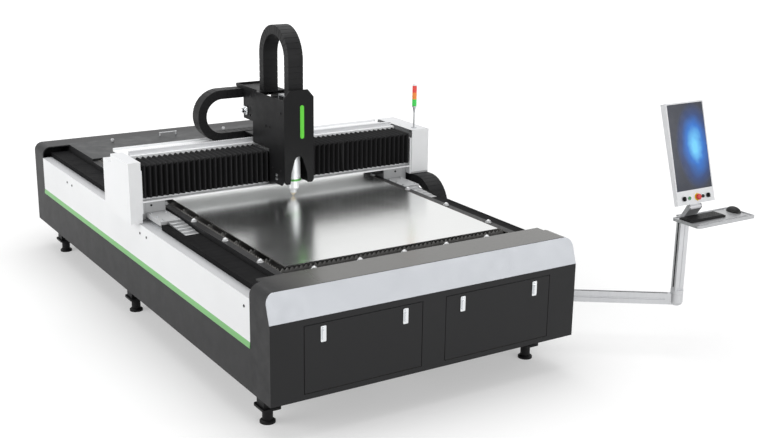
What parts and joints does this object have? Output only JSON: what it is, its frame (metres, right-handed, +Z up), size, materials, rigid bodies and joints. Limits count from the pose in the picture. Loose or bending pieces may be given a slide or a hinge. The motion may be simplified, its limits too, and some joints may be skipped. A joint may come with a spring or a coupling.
{
  "type": "fiber laser cutting machine",
  "caption": "Open-frame flatbed fiber laser cutter with travelling gantry, bellows-covered cross beam, vertical cutting head, cable chains, scrap drawers and a swing-arm console.",
  "frame": {"origin": "on the floor under the middle of the bed's plan", "axes": "+X to the right seen from the front, +Y from the front cabinet to the rear, +Z up"},
  "size_m": [3.4428, 4.4663, 2.01],
  "materials": {
    "frame_paint": "satin dark paint",
    "dark_paint": "fine-textured charcoal powder coat",
    "green_paint": "satin green paint",
    "white_paint": "satin white powder coat",
    "silver_paint": "metallic silver paint",
    "plate_paint": "satin dark grey paint",
    "foot_black": "black rubber-coated steel",
    "steel": "ground steel",
    "black_fabric": "black coated fabric",
    "slat_steel": "dark scorched steel",
    "ball_steel": "polished steel",
    "sheet_steel": "cold-rolled sheet",
    "chain_plastic": "black moulded plastic",
    "bracket_metal": "satin aluminium",
    "cast_grey": "pale grey paint",
    "motor_black": "black paint",
    "lamp_plastic": "tinted lamp plastic",
    "head_paint": "black powder coat",
    "head_plastic": "black cover",
    "light_green": "lit green diffuser",
    "head_metal": "anodised pale metal",
    "latch_chrome": "chromed zinc",
    "console_aluminium": "satin anodised extrusion",
    "case_paint": "pale grey paint",
    "screen_glass": "dark display panel",
    "red_plastic": "red plastic",
    "green_plastic": "green plastic",
    "black_plastic": "black plastic"
  },
  "bodies": {
    "bed": {"bed_frame": "frame_paint", "lower_panels": "dark_paint", "stripes": "green_paint", "upper_panels": "white_paint", "front_cabinet": "dark_paint", "front_band": "silver_paint", "rear_cabinet": "dark_paint", "rear_cover": "plate_paint", "levelling_feet": "foot_black", "x_guides": "steel", "way_covers": "black_fabric", "table_frame": "frame_paint", "support_slats": "slat_steel", "ball_units": "ball_steel", "sheet_blank": "sheet_steel", "chain_trough": "frame_paint", "x_chain_lower": "chain_plastic", "arm_bracket": "bracket_metal"},
    "gantry": {"gantry_beam": "white_paint", "left_end_cover": "white_paint", "right_end_cover": "white_paint", "saddles": "cast_grey", "left_bellows": "black_fabric", "right_bellows": "black_fabric", "y_guides": "steel", "y_chain_lower": "chain_plastic", "x_motors": "motor_black", "tower_stand": "bracket_metal", "tower_lamps": "lamp_plastic", "x_chain_upper": "chain_plastic"},
    "carriage": {"carriage_plate": "cast_grey", "head_housing": "head_paint", "head_cover": "head_plastic", "light_bar": "light_green", "y_motor": "motor_black", "y_chain_upper": "chain_plastic", "z_chain": "chain_plastic"},
    "z_head": {"cutting_head": "head_metal"},
    "x_loop_lower": {"x_loop_lower": "chain_plastic"},
    "x_loop_upper": {"x_loop_upper": "chain_plastic"},
    "y_loop_lower": {"y_loop_lower": "chain_plastic"},
    "y_loop_upper": {"y_loop_upper": "chain_plastic"},
    "x_pinion_left": {"x_pinion_left": "steel"},
    "x_pinion_right": {"x_pinion_right": "steel"},
    "y_pinion": {"y_pinion": "steel"},
    "left_drawer": {"left_drawer": "dark_paint", "left_latches": "latch_chrome"},
    "right_drawer": {"right_drawer": "dark_paint", "right_latches": "latch_chrome"},
    "console_arm": {"console_arm": "console_aluminium"},
    "console_post": {"console_post": "console_aluminium", "keyboard": "black_plastic", "mouse": "black_plastic"},
    "panel": {"panel_case": "case_paint", "screen": "screen_glass"},
    "e_stop": {"e_stop": "red_plastic"},
    "start_button": {"start_button": "green_plastic"},
    "reset_button": {"reset_button": "black_plastic"},
    "knob_left": {"knob_left": "black_plastic"},
    "knob_right": {"knob_right": "black_plastic"}
  },
  "joints": [
    {"name": "gantry_travel", "type": "slide", "parent": "bed", "child": "gantry", "axis": [0, 1, 0], "range_m": [-1.31, 1.63], "deforming": ["x_chain_lower", "x_chain_upper", "way_covers"]},
    {"name": "head_travel", "type": "slide", "parent": "gantry", "child": "carriage", "axis": [1, 0, 0], "range_m": [-0.75, 0.75], "deforming": ["left_bellows", "right_bellows", "y_chain_lower", "y_chain_upper"]},
    {"name": "z_travel", "type": "slide", "parent": "carriage", "child": "z_head", "axis": [0, 0, 1], "range_m": [0, 0.1], "deforming": ["z_chain"]},
    {"name": "x_loop_lower_travel", "type": "slide", "parent": "bed", "child": "x_loop_lower", "axis": [0, 1, 0], "range_m": [-0.66, 0.82]},
    {"name": "x_loop_upper_travel", "type": "slide", "parent": "gantry", "child": "x_loop_upper", "axis": [0, 1, 0], "range_m": [-0.82, 0.66]},
    {"name": "y_loop_lower_travel", "type": "slide", "parent": "gantry", "child": "y_loop_lower", "axis": [1, 0, 0], "range_m": [-0.38, 0.38]},
    {"name": "y_loop_upper_travel", "type": "slide", "parent": "carriage", "child": "y_loop_upper", "axis": [1, 0, 0], "range_m": [-0.38, 0.38]},
    {"name": "x_pinion_left_spin", "type": "hinge", "parent": "gantry", "child": "x_pinion_left", "pos_m": [-0.9255, 0.115, 0.782], "axis": [0, 0, 1], "range_deg": [-1790, 2220]},
    {"name": "x_pinion_right_spin", "type": "hinge", "parent": "gantry", "child": "x_pinion_right", "pos_m": [0.9255, 0.115, 0.782], "axis": [0, 0, 1], "range_deg": [-2220, 1790]},
    {"name": "y_pinion_spin", "type": "hinge", "parent": "carriage", "child": "y_pinion", "pos_m": [0, 0.0875, 1.19], "axis": [0, 0, 1], "range_deg": [-1030, 1030]},
    {"name": "left_drawer_slide", "type": "slide", "parent": "bed", "child": "left_drawer", "axis": [0, -1, 0], "range_m": [0, 0.6]},
    {"name": "right_drawer_slide", "type": "slide", "parent": "bed", "child": "right_drawer", "axis": [0, -1, 0], "range_m": [0, 0.6]},
    {"name": "arm_swing", "type": "hinge", "parent": "bed", "child": "console_arm", "pos_m": [1.14, -1.545, 0.312], "axis": [0, 0, 1], "range_deg": [-40, 60]},
    {"name": "post_swivel", "type": "hinge", "parent": "console_arm", "child": "console_post", "pos_m": [1.93981, -2.1113, 0.33], "axis": [0, 0, 1], "range_deg": [-60, 60]},
    {"name": "panel_tilt", "type": "hinge", "parent": "console_post", "child": "panel", "pos_m": [1.93981, -2.1953, 0.965], "axis": [1, 0, 0], "range_deg": [-10, 10]},
    {"name": "e_stop_press", "type": "slide", "parent": "panel", "child": "e_stop", "axis": [0, 0.9613, -0.2756], "range_m": [0, 0.005], "stiffness_N_per_m": 600, "springref_m": -0.001},
    {"name": "start_press", "type": "slide", "parent": "panel", "child": "start_button", "axis": [0, 0.9613, -0.2756], "range_m": [0, 0.004], "stiffness_N_per_m": 500, "springref_m": -0.001},
    {"name": "reset_press", "type": "slide", "parent": "panel", "child": "reset_button", "axis": [0, 0.9613, -0.2756], "range_m": [0, 0.004], "stiffness_N_per_m": 500, "springref_m": -0.001},
    {"name": "knob_left_turn", "type": "hinge", "parent": "panel", "child": "knob_left", "pos_m": [1.83281, -2.20127, 1.02945], "axis": [0, -0.9613, 0.2756], "range_deg": [-45, 45]},
    {"name": "knob_right_turn", "type": "hinge", "parent": "panel", "child": "knob_right", "pos_m": [2.04581, -2.20127, 1.02945], "axis": [0, -0.9613, 0.2756], "range_deg": [-45, 45]}
  ],
  "couplings": [
    {"joint": "x_loop_lower_travel", "follows": "gantry_travel", "ratio": 0.5},
    {"joint": "x_loop_upper_travel", "follows": "gantry_travel", "ratio": -0.5},
    {"joint": "y_loop_lower_travel", "follows": "head_travel", "ratio": 0.5},
    {"joint": "y_loop_upper_travel", "follows": "head_travel", "ratio": -0.5},
    {"joint": "x_pinion_left_spin", "follows": "gantry_travel", "rad_per_m": 23.529},
    {"joint": "x_pinion_right_spin", "follows": "gantry_travel", "rad_per_m": -23.529},
    {"joint": "y_pinion_spin", "follows": "head_travel", "rad_per_m": -23.529}
  ]
}
